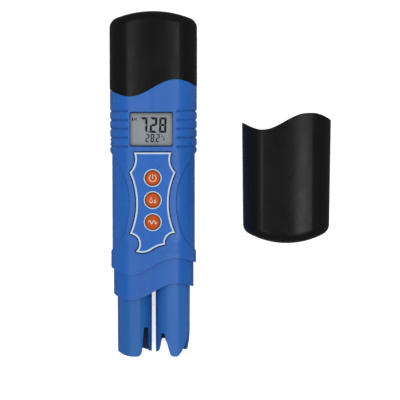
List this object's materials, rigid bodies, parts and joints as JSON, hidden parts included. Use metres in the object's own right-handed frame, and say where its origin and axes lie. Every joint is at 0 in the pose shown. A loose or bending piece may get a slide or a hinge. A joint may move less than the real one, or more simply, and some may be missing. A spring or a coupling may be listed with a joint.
{
  "type": "ph test pen",
  "caption": "Hand-held acidity and redox test pen: flattened blue body with display, round keys, pull-off battery cap, guarded twin electrodes and a separate protective cap.",
  "frame": {"origin": "on the flat land of the pen's back, on its centre line, 0.7 mm below the middle key's centre, where the pen rests on a surface", "axes": "+Y along the pen towards the battery cap, +Z out of the display, +X to the right when the display is read; the protective cap lies at +X"},
  "size_m": [0.11, 0.1714, 0.0273],
  "materials": {
    "blue_shell": "satin moulded plastic",
    "cap_black": "satin moulded plastic with a fine texture",
    "label_blue": "printed film",
    "label_white": "printed film",
    "button_orange": "soft satin rubberised plastic",
    "clear_window": "clear polycarbonate",
    "lcd_glass": "grey-green liquid crystal glass",
    "inner_plastic": "plain moulded plastic",
    "holder_black": "plain moulded plastic",
    "circuit_board": "green solder mask",
    "chip_black": "epoxy",
    "contact_rubber": "layered conducting rubber",
    "seal_rubber": "nitrile rubber",
    "screw_steel": "plain steel",
    "contact_metal": "nickel-plated spring steel",
    "contact_gold": "gold-plated",
    "cell_steel": "nickel-plated can",
    "electrode_body": "smooth epoxy tube",
    "sensor_glass": "thin clear glass",
    "platinum": "polished platinum",
    "junction_ceramic": "porous ceramic"
  },
  "bodies": {
    "pen": {"main_housing": "blue_shell", "neck_seal": "seal_rubber", "lcd_window": "clear_window", "lcd_panel": "lcd_glass", "lcd_holder": "inner_plastic", "lcd_contact_strips": "contact_rubber", "label_panel": "label_blue", "label_border": "label_white", "button_rings": "label_white", "main_board": "circuit_board", "board_screws": "screw_steel", "microcontroller": "chip_black", "board_components": "chip_black", "board_socket": "chip_black", "chassis": "inner_plastic", "battery_holder": "holder_black", "battery_plate": "contact_metal", "battery_spring": "contact_metal", "battery_cell_1": "cell_steel", "battery_cell_2": "cell_steel", "battery_cell_3": "cell_steel", "battery_cell_4": "cell_steel", "power_snap_dome": "contact_metal", "ph_snap_dome": "contact_metal", "mv_snap_dome": "contact_metal"},
    "battery_cap": {"battery_cap": "cap_black"},
    "electrode_module": {"collar": "blue_shell", "module_seal": "seal_rubber", "electrode_carrier": "blue_shell", "connector_pins": "contact_gold", "guard_left": "blue_shell", "guard_right": "blue_shell", "ph_electrode": "electrode_body", "ph_glass_bulb": "sensor_glass", "ph_junction": "junction_ceramic", "orp_electrode": "electrode_body", "platinum_sensor": "platinum", "orp_junction": "junction_ceramic", "temperature_sensor": "screw_steel"},
    "power_button": {"power_button": "button_orange"},
    "ph_button": {"ph_button": "button_orange"},
    "mv_button": {"mv_button": "button_orange"},
    "protective_cap": {"protective_cap": "cap_black"}
  },
  "joints": [
    {"name": "battery_cap_slide", "type": "slide", "parent": "pen", "child": "battery_cap", "axis": [0, 1, 0], "range_m": [0, 0.04]},
    {"name": "electrode_module_slide", "type": "slide", "parent": "pen", "child": "electrode_module", "axis": [0, -1, 0], "range_m": [0, 0.025]},
    {"name": "power_press", "type": "slide", "parent": "pen", "child": "power_button", "axis": [0, 0, -1], "range_m": [0, 0.0005], "stiffness_N_per_m": 600, "deforming": ["power_snap_dome"]},
    {"name": "ph_press", "type": "slide", "parent": "pen", "child": "ph_button", "axis": [0, 0, -1], "range_m": [0, 0.0005], "stiffness_N_per_m": 600, "deforming": ["ph_snap_dome"]},
    {"name": "mv_press", "type": "slide", "parent": "pen", "child": "mv_button", "axis": [0, 0, -1], "range_m": [0, 0.0005], "stiffness_N_per_m": 600, "deforming": ["mv_snap_dome"]},
    {"name": "protective_cap_slide", "type": "slide", "parent": "pen", "child": "protective_cap", "axis": [0, -1, 0], "range_m": [0, 0.072]}
  ]
}
